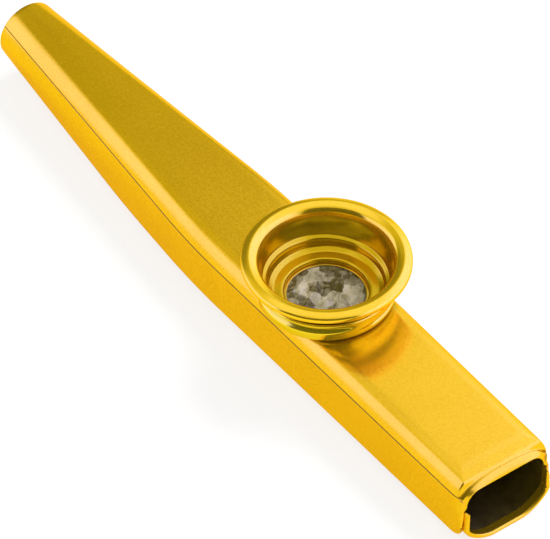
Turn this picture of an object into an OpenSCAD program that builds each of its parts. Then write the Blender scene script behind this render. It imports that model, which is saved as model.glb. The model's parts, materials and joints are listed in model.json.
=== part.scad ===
// Metal kazoo: a pressed two-shell body with a bell turret screwed on over the membrane.
// +X runs along the body from the mouth end to the big open end and +Z is up.
// The origin is on the table, below the middle of the kazoo's length and width.

/* [Body] */
// Length from the mouth end to the hem of the open end
body_l = 120.9; // [110:0.1:135]
// Height of the flat top above the table
body_h = 12.8; // [11:0.1:15]
// Width across the skirts at the open end
open_w = 16.6; // [15.8:0.1:19]
// Width across the skirts at the knee, where the body is widest
knee_w = 17.5; // [16.2:0.1:20]
// Distance of the knee from the mouth end
knee_dist = 54.5; // [45:0.1:60]
// Diameter of the round mouth end
mouth_d = 9.8; // [8:0.1:10.6]
// Height of the mouth end's lowest point above the table
mouth_rise = 3; // [2.4:0.1:4]
// Distance from the mouth end at which the underside comes down to the table
belly_dist = 36.2; // [25:0.1:45]
// Length over which each knee is rounded, to both sides
knee_round = 7; // [3:0.5:9]
// Thickness of the pressed sheet
sheet_t = 0.45; // [0.35:0.05:0.55]

/* [Shoulders and skirts] */
// Width of the rounded shoulder, from the flat top to the crease
shoulder_w = 2.3; // [1.8:0.1:2.8]
// Height of the rounded shoulder
shoulder_h = 2.8; // [2.2:0.1:3.4]
// How far off upright the shoulder meets the crease, in degrees
crease_tilt = 35; // [15:1:45]
// Height of the skirt's free edge above the table
skirt_rise = 1.7; // [1.3:0.05:2.2]
// How far the skirt's edge is curled in
skirt_curl = 0.35; // [0.1:0.05:0.5]
// Height of the curled part of the skirt
skirt_curl_h = 0.7; // [0.4:0.1:1]

/* [Open end] */
// Length of the rounded nose of the top
nose_l = 2.2; // [1.6:0.1:3]
// How far the nose drops to its crisp front line
nose_drop = 0.7; // [0.4:0.05:0.9]
// How far the hem of the lower shell stands proud of the lip
hem_out = 0.8; // [0.4:0.1:1.5]
// How far the lip's straight edge lies below the flat top
lip_drop = 3; // [2.4:0.1:3.6]
// Width of the opening between the lip's edges
lip_w = 14.2; // [13.4:0.1:14.6]
// Corner of the lip's edge, both ways
lip_corner = 1.2; // [0.8:0.1:1.6]
// Height over which the lip runs out, above the lower shell's flange
lip_end = 0.4; // [0.3:0.05:0.6]

/* [Lower shell] */
// How far the lower shell's side flanges end below the crease
flange_drop = 2.7; // [2.2:0.1:3.2]
// Height at which the flanges turn in to the belly
belly_h = 3.7; // [3.1:0.1:4.5]
// Width of the belly's flat strip, on which the kazoo rests
belly_flat = 5.2; // [4:0.1:7]
// Slip gap between the two shells
shell_gap = 0.05; // [0.02:0.01:0.1]

/* [Turret] */
// Distance of the turret's axis from the mouth end
turret_dist = 76.75; // [72:0.05:88]
// Height of the bell's rim above the body's top
rim_rise = 7.8; // [7.2:0.1:10]
// Diameter over the rolled rim of the bell
rim_d = 25.5; // [24.6:0.1:28]
// Diameter of the rolled bead of the rim
rim_bead_d = 0.8; // [0.6:0.05:1]
// Thickness of the spun turret sheet
spun_t = 0.3; // [0.26:0.02:0.34]
// Pitch of the rolled thread
thread_pitch = 1.86; // [1.6:0.02:2.2]
// Radius of the middle of the bell cap's thread, level with the collar's lower end
thread_r = 9.15; // [9:0.05:9.4]
// How much larger the thread's radius is at its upper end than at its lower end
thread_spread = 0.9; // [0.7:0.05:1.1]
// Depth of the rolled thread, to both sides of its middle
thread_depth = 0.3; // [0.2:0.02:0.34]
// Play between the two threads, along a radius
thread_play = 0.42; // [0.3:0.02:0.5]
// Turn of the thread about the axis, in degrees
thread_start = 200; // [0:5:355]
// Height of the lower end of the collar's thread above the body's top
thread_low = 0.7; // [0.6:0.05:1]
// Height of the upper end of the collar's thread above the body's top
thread_high = 4.4; // [4.2:0.05:4.8]
// Length over which a thread runs out at each end
thread_fade = 0.6; // [0.4:0.05:0.8]
// Height of the cap's thread end above the collar's
cap_thread_up = 0.45; // [0.45:0.05:0.7]
// Radius at which the collar's foot leaves the body's top
foot_r = 9.2; // [8.8:0.05:9.4]
// Radius of the rolled bead on the collar's lip
lip_bead_r = 0.3; // [0.26:0.02:0.36]
// Radius of the bend from the cap's thread into its floor
cap_bend_r = 0.5; // [0.4:0.05:0.5]
// Fall of the cap's floor from that bend to the spigot
cap_fall = 0.1; // [0.05:0.01:0.1]

/* [Membrane seat] */
// Inner radius of the well that holds the membrane
well_r = 6.7; // [6.55:0.05:6.8]
// Depth of the well below the body's top, down to the seat
well_deep = 0.8; // [0.75:0.05:1.2]
// Radius of the hole in the seat, below the membrane
seat_r = 5.5; // [5:0.05:5.8]
// Inner radius of the rings above and below the membrane
ring_r = 5.9; // [5.85:0.05:6]
// Play of the rings and the spigot in the well, along a radius
ring_play = 0.1; // [0.06:0.02:0.14]
// Thickness of the card washer
washer_t = 0.25; // [0.2:0.01:0.3]
// Thickness of the membrane
film_t = 0.06; // [0.04:0.01:0.08]
// Thickness of the slip ring
slip_t = 0.2; // [0.16:0.01:0.26]
// Gap between the stacked pieces in the well
stack_gap = 0.04; // [0.02:0.01:0.05]

/* [Hidden] */

// Overrun of a cut, as a share of the sheet that it goes through
cut_share = 2;
round_fn = 96;
arc_steps = 6;
// Steps along the body from the mouth end to the nose, and over the nose
long_steps = 22;
nose_steps = 3;
// Turn of the nose's rounding down to its crisp front line, in degrees
nose_turn = 72;
// Steps of a thread band round the axis and up the axis
round_steps = 48;
rise_steps = 18;
// Length of plain tube over each end of a thread band
band_lap = 0.25;
// Depth at which the band's ends are buried in that tube's wall
band_bury = 0.04;
// Play of the collar's well in the hole of the body
hole_play = 0.02;

mouth_x = -body_l / 2;
hem_x = body_l / 2;
lip_x = hem_x - hem_out;
nose_x = lip_x - nose_l;
knee_x = mouth_x + knee_dist;
belly_x = mouth_x + belly_dist;
turret_x = mouth_x + turret_dist;
mouth_r = mouth_d / 2;
mouth_z = mouth_rise + mouth_r;
crease_z = body_h - shoulder_h;
lip_top = body_h - lip_drop;
flange_top = crease_z - flange_drop;
skirt_foot_z = skirt_rise + skirt_curl_h;
inner_d = sheet_t + shell_gap;
hole_r = well_r + spun_t + hole_play;

function mix(a, b, share) = a + (b - a) * share;

// Rounded ramp: nothing before the knee and one for one after it
function ramp(d, r) = d <= -r ? 0 : d >= r ? d : (d + r) * (d + r) / (4 * r);
// Share of the way from the mouth end's shape to the body's, for the sides and for the belly
function side_share(x) = (x - mouth_x - ramp(x - knee_x, knee_round)) / knee_dist;
function belly_share(x) = (x - mouth_x - ramp(x - belly_x, knee_round)) / belly_dist;
// Share of the way from the knee to the open end
function open_share(x) = ramp(x - knee_x, knee_round) / (hem_x - knee_x);
function half_w(x) = mix(knee_w, open_w, open_share(x)) / 2;

// A half outline has columns that run along the body. A column gives the angle of its
// point on the round mouth, its share of the body's half width and the set-in from
// there, its height on the body, and how far it follows the belly's knee.
function column(angle, wide_share, set_in, z, low_share) = [angle, wide_share, set_in, z, low_share];
function point_at(c, x, round_r) =
    let (side = side_share(x), low = mix(side, belly_share(x), c[4]))
    [mix(round_r * cos(c[0]), half_w(x) * c[1] - c[2], side),
     mix(mouth_z + round_r * sin(c[0]), c[3], low)];

// Angles on the mouth's circle at the edge of the flat top, the crease, the foot of the
// skirt and its free edge, and at the lower shell's flange and belly
flat_angle = 66;
crease_angle = 36;
foot_angle = -20;
edge_angle = -54;
flange_angle = 2;
belly_angle = -80;

flat_steps = 2;
shoulder_steps = 5;
curl_steps = 2;
corner_steps = 6;
// Heights of the skirt's columns below the crease: the lip's end, the flange, the middle, the foot
skirt_zs = [flange_top + shell_gap + lip_end, flange_top + shell_gap,
            (flange_top + skirt_foot_z) / 2, skirt_foot_z];
// The shoulder is a piece of an ellipse with these half axes
shoulder_a = shoulder_w / cos(crease_tilt);
shoulder_b = shoulder_h / (1 - sin(crease_tilt));
// Below 1 the corner between flange and belly would be fuller than an ellipse, above it is leaner
corner_share = 1.3;

upper_half = concat(
    [for (i = [0:flat_steps])
        let (s = i / flat_steps)
        column(mix(90, flat_angle, s), s, s * shoulder_w, body_h, 0)],
    [for (i = [1:shoulder_steps])
        let (s = i / shoulder_steps, turn = mix(90, crease_tilt, s))
        column(mix(flat_angle, crease_angle, s), 1, shoulder_w - shoulder_a * cos(turn),
               body_h - shoulder_b * (1 - sin(turn)), 0)],
    [for (z = skirt_zs)
        let (s = (crease_z - z) / (crease_z - skirt_foot_z))
        column(mix(crease_angle, foot_angle, s), 1, 0, z, s)],
    [for (i = [1:curl_steps])
        let (s = i / curl_steps)
        column(mix(foot_angle, edge_angle, s), 1, skirt_curl * s * s, mix(skirt_foot_z, skirt_rise, s), 1)]);

lower_half = concat(
    [for (i = [0:1])
        column(mix(flange_angle, foot_angle, i), 1, inner_d, mix(flange_top, belly_h, i),
               mix(0.5, 1, i))],
    [for (i = [1:corner_steps])
        let (s = i / corner_steps, wide = pow(cos(90 * s), corner_share))
        column(mix(foot_angle, belly_angle, s), wide, inner_d * wide - belly_flat / 2 * (1 - wide),
               belly_h * (1 - pow(sin(90 * s), corner_share)), 1)],
    [column(-90, 0, 0, 0, 1)]);

// Edge of the opening in the lip, with one point for each column of the upper shell
lip_half = concat(
    [for (i = [0:flat_steps]) [i / flat_steps * (lip_w / 2 - lip_corner), lip_top]],
    [for (i = [1:shoulder_steps])
        let (turn = 90 - 90 * i / shoulder_steps)
        [lip_w / 2 - lip_corner * (1 - cos(turn)), lip_top - lip_corner * (1 - sin(turn))]],
    [[lip_w / 2, skirt_zs[0]]]);
// Share of the nose's drop that each column takes: all of it over the top, none at the skirt's foot
nose_shares = concat([for (i = [0:flat_steps + shoulder_steps]) 1], [0.5]);

function reversed(list) = [for (i = [len(list) - 1:-1:0]) list[i]];
function tail(list) = [for (i = [1:len(list) - 1]) list[i]];
function flipped(pts) = [for (p = pts) [-p[0], p[1]]];
// Whole outlines: the upper one starts at the left edge, the lower one at the right flange
function over_top(half) = concat(reversed(flipped(half)), tail(half));
function under_belly(half) = concat(half, tail(reversed(flipped(half))));

// Points moved in by a depth each, square to the sheet
function unit(v) = v / norm(v);
function edge_dir(pts, i) =
    let (k = max(0, min(i, len(pts) - 2))) unit(pts[k + 1] - pts[k]);
function joint(pts, i) =
    let (a = edge_dir(pts, i - 1), b = edge_dir(pts, i), m = unit(a + b)) m / (m * a);
function moved_in(pts, depths) =
    [for (i = [0:len(pts) - 1]) let (j = joint(pts, i)) pts[i] + [j[1], -j[0]] * depths[i]];
function all_at(pts, depth) = [for (p = pts) depth];
function at_x(x, pts) = [for (p = pts) [x, p[0], p[1]]];

// Closed sheet from rings that run down its outside and, as many, back up its inside
module sheet_solid(outside, inside) {
    rings = concat(outside, reversed(inside));
    n = len(rings[0]);
    m = len(rings);
    function id(k, j) = (k % m) * n + j;
    polyhedron(
        points = [for (ring = rings) each ring],
        faces = concat(
            [for (k = [0:m - 1], j = [0:n - 2]) each
                [[id(k, j), id(k, j + 1), id(k + 1, j + 1)], [id(k, j), id(k + 1, j + 1), id(k + 1, j)]]],
            [for (k = [0:m / 2 - 2]) each
                [[id(k, 0), id(k + 1, 0), id(m - 2 - k, 0)], [id(k, 0), id(m - 2 - k, 0), id(m - 1 - k, 0)],
                 [id(k, n - 1), id(m - 2 - k, n - 1), id(k + 1, n - 1)],
                 [id(k, n - 1), id(m - 1 - k, n - 1), id(m - 2 - k, n - 1)]]]));
}

long_xs = [for (i = [0:long_steps]) mix(mouth_x, nose_x, i / long_steps)];

function upper_outline(x) = over_top([for (c = upper_half) point_at(c, x, mouth_r)]);
function nose_angle(k) = nose_turn * k / nose_steps;
function nose_run(k) = nose_l * sin(nose_angle(k)) / sin(nose_turn);
function nose_fall(k) = nose_drop * (1 - cos(nose_angle(k))) / (1 - cos(nose_turn));
function nose_depths(fall, depth) =
    let (half = [for (i = [0:len(upper_half) - 1])
        depth + (i < len(nose_shares) ? nose_shares[i] * fall : 0)])
    concat(reversed(half), tail(half));
// The inside of the nose is shorter by the lip's sheet and its bend
inner_nose_share = (nose_l - 2 * sheet_t) / nose_l;

function nose_ring(k, share, depth) =
    let (x = nose_x + nose_run(k) * share)
    at_x(x, moved_in(upper_outline(x), nose_depths(nose_fall(k) * share, depth)));
function lip_ring(x) =
    let (skirt = moved_in(upper_outline(x), all_at(upper_outline(x), sheet_t)),
         mid = len(upper_half) - 1,
         half = [for (i = [0:mid]) i < len(lip_half) ? lip_half[i] : skirt[mid + i]])
    at_x(x, over_top(half));

module upper_shell() {
    outside = concat(
        [for (x = long_xs) at_x(x, upper_outline(x))],
        [for (k = [1:nose_steps]) nose_ring(k, 1, 0)],
        [lip_ring(lip_x)]);
    inside = concat(
        [for (x = long_xs) at_x(x, moved_in(upper_outline(x), all_at(upper_outline(x), sheet_t)))],
        [for (k = [1:nose_steps]) nose_ring(k, inner_nose_share, sheet_t)],
        [lip_ring(lip_x - sheet_t)]);
    color([0.95, 0.75, 0.1])
    difference() {
        sheet_solid(outside, inside);
        translate([turret_x, 0, crease_z])
            cylinder(r = hole_r, h = shoulder_h + cut_share * sheet_t, $fn = round_fn);
    }
}

module lower_shell() {
    function outline(x) = under_belly([for (c = lower_half) point_at(c, x, mouth_r - inner_d)]);
    xs = concat(long_xs, [hem_x]);
    color([0.9, 0.7, 0.1])
    sheet_solid(
        [for (x = xs) at_x(x, outline(x))],
        [for (x = xs) at_x(x, moved_in(outline(x), all_at(outline(x), sheet_t)))]);
}

// Heights of the turret above the table, and radii of the two threads' middles at a height
collar_low_z = body_h + thread_low;
cap_low_z = collar_low_z + cap_thread_up;
high_z = body_h + thread_high;
rim_h = body_h + rim_rise;
thread_taper = thread_spread / (thread_high - thread_low);
function cap_r(z) = thread_r + thread_taper * (z - collar_low_z);
function collar_r(z) = cap_r(z) + spun_t + thread_play;
seat_z = body_h - well_deep;
washer_z = seat_z + stack_gap;
film_z = washer_z + washer_t + stack_gap;
slip_z = film_z + film_t + stack_gap;
spigot_z = slip_z + slip_t + stack_gap;
ring_out_r = well_r - ring_play;

// Points of an arc of an ellipse, from one angle to another
function arc(centre, a, b, from, to) =
    [for (i = [0:arc_steps])
        let (turn = mix(from, to, i / arc_steps)) centre + [a * cos(turn), b * sin(turn)]];
// Outline of a sheet of a given thickness about its middle line
function sheet_outline(line, t) =
    concat(moved_in(line, all_at(line, -t / 2)), reversed(moved_in(line, all_at(line, t / 2))));
module spun(line) {
    rotate_extrude($fn = round_fn) polygon(sheet_outline(line, spun_t));
}
module bead(at, r) {
    rotate_extrude($fn = round_fn) translate(at) circle(r = r, $fn = round_fn / 4);
}

// Widening wall with a rolled right-hand thread. low_r is the radius of its middle at the
// lower end. At each end it runs out to a plain tube, which is as wide as the thread's crest
// where the end is 1 and as narrow as its root where it is -1.
module thread_band(low_r, low_z, top_z, low_end, top_end) {
    band_t = spun_t - 2 * band_bury;
    function smooth(s) = let (c = max(0, min(1, s))) c * c * (3 - 2 * c);
    function low_fade(z) = smooth(1 - (z - low_z - band_lap) / thread_fade);
    function top_fade(z) = smooth(1 - (top_z - z - band_lap) / thread_fade);
    function wall_r(turn, z) =
        let (wave = cos(360 * (z - body_h) / thread_pitch - turn - thread_start),
             low = mix(wave, low_end, low_fade(z)))
        low_r + thread_taper * (z - low_z) + thread_depth * mix(low, top_end, top_fade(z));
    function wall_ring(z, set) =
        [for (i = [0:round_steps])
            let (turn = 360 * i / round_steps, r = wall_r(turn, z) + set)
            [r * cos(turn), r * sin(turn), z]];
    rings = concat(
        [for (j = [0:rise_steps]) wall_ring(mix(low_z, top_z, j / rise_steps), band_t / 2)],
        [for (j = [rise_steps:-1:0]) wall_ring(mix(low_z, top_z, j / rise_steps), -band_t / 2)]);
    m = len(rings);
    function id(k, i) = (k % m) * round_steps + i % round_steps;
    polyhedron(
        points = [for (ring = rings, i = [0:round_steps - 1]) ring[i]],
        faces = [for (k = [0:m - 1], i = [0:round_steps - 1]) each
            [[id(k, i), id(k + 1, i + 1), id(k, i + 1)], [id(k, i), id(k + 1, i), id(k + 1, i + 1)]]]);
}

module threaded_collar() {
    well_mid_r = well_r + spun_t / 2;
    low_r = collar_r(collar_low_z) + thread_depth;
    lap_r = collar_r(collar_low_z + band_lap) + thread_depth;
    lip_lap_r = collar_r(high_z - band_lap) + thread_depth;
    lip_r = collar_r(high_z) + thread_depth;
    color([1, 0.82, 0.2])
    translate([turret_x, 0, 0]) {
        spun(concat(
            [[seat_r, seat_z - spun_t / 2],
             [well_mid_r, seat_z - spun_t / 2],
             [well_mid_r, body_h + spun_t / 2]],
            arc([foot_r, collar_low_z], low_r - foot_r, thread_low - spun_t / 2, -90, 0),
            [[lap_r, collar_low_z + band_lap]]));
        thread_band(collar_r(collar_low_z), collar_low_z, high_z, 1, 1);
        spun([[lip_lap_r, high_z - band_lap], [lip_r, high_z], [lip_r, high_z + lip_bead_r]]);
        bead([lip_r - spun_t / 2 + lip_bead_r, high_z + lip_bead_r], lip_bead_r);
    }
}

module ring_plate(z, t, inner_r) {
    translate([turret_x, 0, z])
    difference() {
        cylinder(r = ring_out_r, h = t, $fn = round_fn);
        translate([0, 0, -cut_share * t])
            cylinder(r = inner_r, h = (2 * cut_share + 1) * t, $fn = round_fn);
    }
}

module card_washer() {
    color([0.55, 0.42, 0.3]) ring_plate(washer_z, washer_t, ring_r);
}

module membrane() {
    color([0.8, 0.8, 0.78, 0.7])
    translate([turret_x, 0, film_z])
        cylinder(r = ring_out_r, h = film_t, $fn = round_fn);
}

module slip_ring() {
    color([1, 0.85, 0.35]) ring_plate(slip_z, slip_t, ring_r);
}

module bell_cap() {
    spigot_mid_r = ring_out_r - spun_t / 2;
    bend_z = cap_low_z - cap_bend_r;
    low_r = cap_r(cap_low_z) - thread_depth;
    lap_r = cap_r(cap_low_z + band_lap) - thread_depth;
    flare_lap_r = cap_r(high_z - band_lap) + thread_depth;
    flare_r = cap_r(high_z) + thread_depth;
    rim_mid = [rim_d / 2 - rim_bead_d / 2, rim_h - rim_bead_d / 2];
    // The flare turns this far from upright to the rim, in degrees
    flare_turn = 62;
    flare_a = (rim_mid[0] - flare_r) / (1 - cos(flare_turn));
    flare_b = (rim_mid[1] - high_z + spun_t / 4) / sin(flare_turn);
    color([1, 0.8, 0.15])
    translate([turret_x, 0, 0]) {
        spun(concat(
            [[spigot_mid_r, spigot_z], [spigot_mid_r, bend_z - cap_fall]],
            arc([low_r - cap_bend_r, cap_low_z], cap_bend_r, cap_bend_r, -90, 0),
            [[lap_r, cap_low_z + band_lap]]));
        thread_band(cap_r(cap_low_z), cap_low_z, high_z, -1, 1);
        spun(concat(
            [[flare_lap_r, high_z - band_lap]],
            arc([flare_r + flare_a, high_z], flare_a, flare_b, 180, 180 - flare_turn)));
        bead(rim_mid, rim_bead_d / 2);
    }
}

upper_shell();
lower_shell();
threaded_collar();
card_washer();
membrane();
slip_ring();
bell_cap();
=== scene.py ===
"""Looks of a metal kazoo, built round its packed construction model.

Two pressed shells make the body, and a screw-on bell holds a crinkled film over a hole in its top.
Every piece is a surface that is worked out from the frame's boxes and from the sizes below.
Lengths are in metres, +X runs from the mouth end to the open end and +Z is up.
"""

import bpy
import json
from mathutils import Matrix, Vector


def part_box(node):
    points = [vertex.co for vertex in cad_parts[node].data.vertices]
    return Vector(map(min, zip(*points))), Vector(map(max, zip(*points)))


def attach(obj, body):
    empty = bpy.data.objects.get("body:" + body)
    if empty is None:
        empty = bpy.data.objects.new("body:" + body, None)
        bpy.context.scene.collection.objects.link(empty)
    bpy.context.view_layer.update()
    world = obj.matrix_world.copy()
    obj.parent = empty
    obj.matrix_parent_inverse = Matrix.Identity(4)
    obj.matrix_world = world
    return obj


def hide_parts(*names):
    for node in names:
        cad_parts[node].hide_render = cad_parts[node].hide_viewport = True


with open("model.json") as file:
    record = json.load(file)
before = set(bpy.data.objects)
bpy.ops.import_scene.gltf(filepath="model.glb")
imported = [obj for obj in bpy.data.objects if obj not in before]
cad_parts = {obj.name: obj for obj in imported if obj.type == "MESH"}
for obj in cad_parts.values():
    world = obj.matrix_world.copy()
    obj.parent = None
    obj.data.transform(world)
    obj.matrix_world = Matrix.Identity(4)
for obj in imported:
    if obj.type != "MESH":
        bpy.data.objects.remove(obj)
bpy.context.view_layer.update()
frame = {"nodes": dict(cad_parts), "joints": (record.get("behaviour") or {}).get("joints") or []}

import json
import math

import bpy
import numpy as np
from bpy.props import FloatProperty, FloatVectorProperty, IntProperty, PointerProperty
from bpy.types import Operator, Panel, PropertyGroup
from mathutils import Matrix, Vector

bl_info = {
    "name": "Metal kazoo",
    "version": (1, 0, 0),
    "blender": (4, 5, 0),
    "location": "View3D > Sidebar > Kazoo",
    "description": "Builds a pressed metal kazoo with a screw-on bell and a crinkled film",
    "category": "Object",
}

MM = 0.001
NEARLY_ZERO = 1e-9
TURRET_AXIS = Vector(frame["joints"][0]["pos_m"])


def length(label, about, mm):
    """A length property whose default is given in millimetres."""
    return FloatProperty(name=label, description=about, default=mm * MM, unit="LENGTH", precision=5)


def angle(label, about, degrees):
    """An angle property whose default is given in degrees."""
    return FloatProperty(name=label, description=about, default=math.radians(degrees), unit="ROTATION")


def share(label, about, value):
    """A factor between 0 and 1."""
    return FloatProperty(name=label, description=about, default=value, min=0, max=1, subtype="FACTOR")


def colour(label, about, value):
    """A linear colour."""
    return FloatVectorProperty(name=label, description=about, default=value, size=3, min=0, max=1,
                               subtype="COLOR")


class KazooShellSizes(PropertyGroup):
    """Sizes of the two pressed shells."""
    open_w: length("Open end width", "Width across the skirts at the open end", 16.6)
    knee_w: length("Knee width", "Width across the skirts where the body is widest", 17.5)
    knee_dist: length("Knee distance", "Distance of the knee from the mouth end", 54.5)
    mouth_d: length("Mouth diameter", "Diameter of the round mouth end", 9.8)
    mouth_rise: length("Mouth rise", "Height of the mouth end's lowest point", 3.0)
    belly_dist: length("Belly distance", "Where the underside comes down to the table", 36.2)
    knee_round: length("Knee rounding", "Length over which each knee is rounded, to both sides", 7.0)
    sheet_t: length("Sheet", "Thickness of the pressed sheet", 0.45)
    shell_gap: length("Slip gap", "Gap between the two shells", 0.05)
    shoulder_w: length("Shoulder width", "From the flat top to the crease", 2.3)
    shoulder_h: length("Shoulder height", "From the flat top down to the crease", 2.8)
    crease_tilt: angle("Crease tilt", "How far off upright the shoulder meets the crease", 35)
    crown_w: length("Crown width", "Width of the gently sloping border of the flat top", 1.25)
    crown_turn: angle("Crown slope", "Slope of that border where the shoulder starts", 17)
    crease_w: length("Crease line width", "Width of the scored line along the crease", 0.17)
    crease_deep: length("Crease line depth", "Depth of the scored line along the crease", 0.16)
    skirt_rise: length("Skirt rise", "Height of the skirt's free edge", 1.7)
    skirt_curl: length("Skirt curl", "How far the skirt's edge is curled in", 0.35)
    skirt_curl_h: length("Skirt curl height", "Height of the curled part of the skirt", 0.7)
    skirt_corner_r: length("Skirt corner", "Rounding of the skirt's lower front corner", 2.5)
    flange_drop: length("Flange drop", "How far the lower shell's flanges end below the crease", 2.7)
    belly_h: length("Belly height", "Height at which the flanges turn in to the belly", 3.7)
    belly_flat: length("Belly flat", "Width of the belly's flat strip", 5.2)
    hem_t: length("Hem thickness", "Thickness of the rolled hem at the open end", 0.75)
    hem_l: length("Hem length", "Length over which the lower shell thickens to its hem", 0.6)


class KazooFrontSizes(PropertyGroup):
    """Sizes of the open end's nose and lip."""
    nose_l: length("Nose length", "Length of the rounded nose of the top", 3.4)
    nose_drop: length("Nose drop", "How far the nose drops to its front line", 0.75)
    nose_bow: FloatProperty(name="Nose bow", description="Power of the width by which the front line falls",
                            default=3, min=1)
    nose_turn: angle("Nose turn", "Turn of the nose's rounding down to its front line", 62)
    nose_step: length("Nose step", "Length of the step from the nose down to its front line", 0.4)
    tuck: length("Tuck", "How far the side walls are tucked in at the open end", 0.32)
    tuck_l: length("Tuck length", "Length over which the side walls are tucked in", 2.2)
    lip_back: length("Lip slope", "How far the front line lies behind the lip's edge", 0.8)
    lip_drop: length("Lip drop", "How far the lip's edge lies below the flat top", 2.25)
    lip_w: length("Lip width", "Width of the opening between the lip's edges", 14.2)
    lip_corner: length("Lip corner", "Corner of the lip's edge", 2.4)
    lip_end: length("Lip end", "Height over which the lip runs out above the flange", 0.6)
    line_w: length("Front line width", "Width of the line between nose and lip", 0.14)
    line_deep: length("Front line depth", "Depth of the line between nose and lip", 0.14)
    slot_w: length("Corner slot width", "Width of the open slot at each shoulder's front end", 0.5)
    slot_deep: length("Corner slot depth", "Depth of the open slot at each shoulder's front end", 0.4)


class KazooTurretSizes(PropertyGroup):
    """Sizes of the spun turret."""
    spun_t: length("Spun sheet", "Thickness of the spun turret sheet", 0.3)
    thread_pitch: length("Thread pitch", "Rise of the rolled thread in a turn", 1.86)
    thread_r: length("Thread radius", "Middle of the bell's thread at the collar's lower end", 9.05)
    thread_spread: length("Thread spread", "How much the thread widens to its upper end", 0.4)
    thread_depth: length("Thread depth", "Depth of the rolled thread to both sides", 0.3)
    thread_play: length("Thread play", "Play between the two threads along a radius", 0.5)
    thread_start: angle("Thread start", "Turn of the thread about the axis", 35)
    thread_low: length("Thread foot", "Lower end of the collar's tube above the flat top", 0.7)
    thread_high: length("Thread head", "Upper end of the bell's thread above the flat top", 3.9)
    collar_high: length("Collar head", "Upper end of the collar's tube above the flat top", 3.55)
    thread_first: length("Thread's first root", "Height of the first root above the flat top", 1.17)
    thread_last: length("Thread's last root", "Height of the last root above the flat top", 3.15)
    lower_flank: share("Lower flank", "Share of the pitch from a crest up to its root", 0.45)
    upper_flank: share("Upper flank", "Share of the pitch from a root up to its crest", 0.3)
    thread_lap: length("Thread lap", "Length of plain tube below the bell's thread", 0.25)
    thread_fade: length("Thread fade", "Length over which the bell's thread comes in", 0.5)
    thread_end: length("Thread end", "Rise over which the thread's ends run out", 0.25)
    cap_thread_up: length("Bell thread rise", "Bell's thread end above the collar's", 0.5)
    foot_r: length("Foot radius", "Radius at which the collar's foot leaves the flat top", 9.2)
    lip_bead_r: length("Lip bead", "Radius of the rolled bead on the collar's lip", 0.24)
    floor_r: length("Floor radius", "Radius at which the bell's floor turns up", 7.95)
    floor_rise: length("Floor rise", "Height over which the bell's floor slopes up to its wall", 0.5)
    floor_up: length("Floor height", "Middle of the bell's floor above the flat top", 0.53)
    fillet: length("Fillet", "Reach of the bends in the collar's well", 0.32)
    floor_fillet: length("Floor fillet", "Reach of the bends in the bell's spigot and floor", 0.192)
    rim_fillet: length("Rim fillet", "Reach of the bends in the bell's rim", 0.256)
    well_r: length("Well radius", "Inner radius of the well that holds the film", 6.7)
    seat_r: length("Seat hole", "Radius of the hole in the seat", 5.5)
    ring_r: length("Ring hole", "Inner radius of the rings above and below the film", 5.9)
    ring_play: length("Ring play", "Play of the rings and the spigot in the well", 0.1)
    wall_lean: length("Wall lean", "How far the bell's wall leans out up to the flare", 0.3)
    wall_h: length("Wall height", "Height of the bell's steep wall above its thread", 2.9)
    flare_w: length("Flare width", "Width of the rim from the end of the flare to its outside", 1.5)
    flare_slope: share("Flare slope", "Rise of the flare's end over its run", 0.29)
    rim_w: length("Rim width", "Width of the rim's sloping band", 1.0)
    rim_fall: length("Rim fall", "How far the rim's band falls to the outside", 0.39)
    rim_h: length("Rim height", "Height of the rim's rolled edge", 1.25)
    rim_hem: length("Rim hem", "Width of the hem rolled in under the rim", 0.6)
    hole_play: length("Hole play", "Play of the collar's well in the hole of the body", 0.02)


class KazooFilmSizes(PropertyGroup):
    """Sizes of the film's crinkles."""
    fold_count: IntProperty(name="Folds", description="Number of crossing folds", default=9, min=1)
    fold_long: length("Longest fold", "Spacing of the widest folds", 6.5)
    fold_short: length("Shortest fold", "Spacing of the finest folds", 1.3)
    fold_slope: share("Fold slope", "Rise of a fold's faces over their run", 0.07)
    clamp_w: length("Clamped rim", "Width over which the crinkles die out to the rings", 0.5)
    seed: IntProperty(name="Seed", description="Choice of the folds", default=11)


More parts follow.
